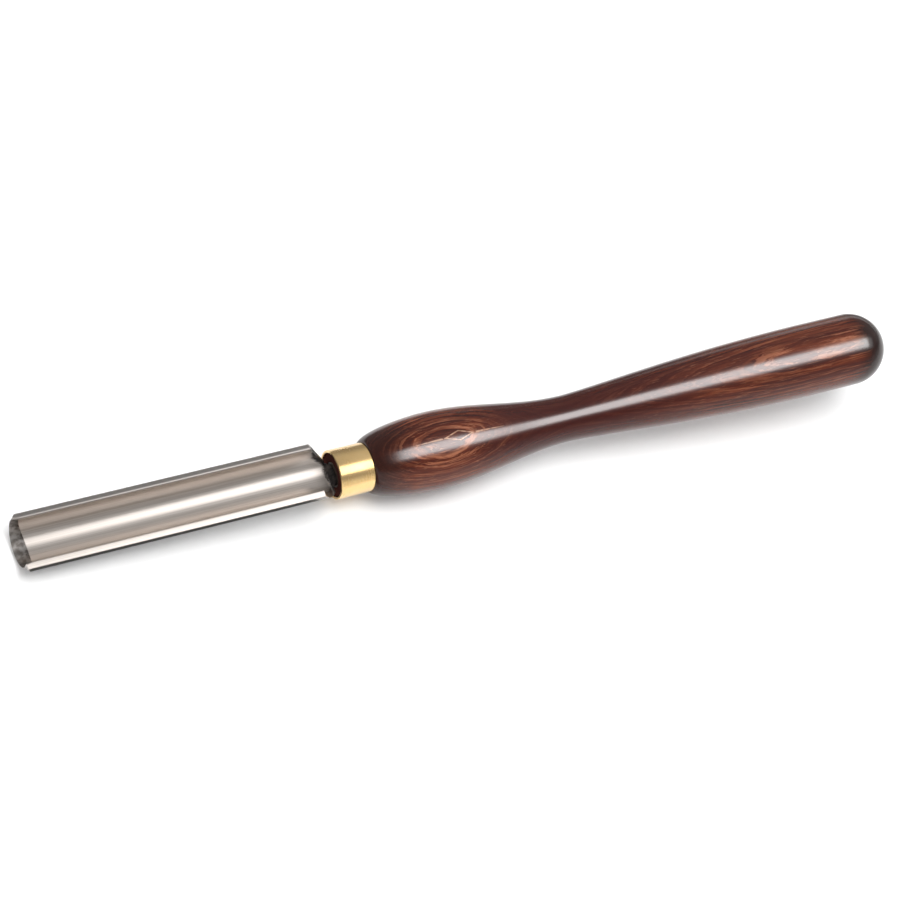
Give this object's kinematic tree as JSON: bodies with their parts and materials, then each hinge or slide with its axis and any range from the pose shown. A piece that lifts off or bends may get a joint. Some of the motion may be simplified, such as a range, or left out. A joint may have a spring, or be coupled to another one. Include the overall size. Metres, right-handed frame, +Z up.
{
  "type": "roughing gouge",
  "caption": "Woodturning roughing gouge: deep U-shaped steel blade ground straight across, brass ferrule and a long turned hardwood handle with a bulge, a waist and a round butt.",
  "frame": {"origin": "middle of the bounding box's underside, on the bench that the tool lies on; the front of the ferrule is 70.9 mm towards -X", "axes": "+X along the tool from the cutting end to the butt, +Z up out of the open side of the flute. The tool lies on its bevel heel and its bulge, so its axis rises 4.3 degrees towards the butt"},
  "size_m": [0.4366, 0.0352, 0.0515],
  "materials": {
    "ground_steel": "ground lengthwise and satin, with dark forging scale at the neck",
    "satin_brass": "satin, turned and polished",
    "stained_hardwood": "dark red-brown stain under gloss lacquer",
    "dark_resin": "set adhesive, hidden"
  },
  "bodies": {
    "root": {"gouge_blade": "ground_steel", "ferrule": "satin_brass", "handle": "stained_hardwood", "tang_adhesive": "dark_resin"}
  },
  "joints": []
}
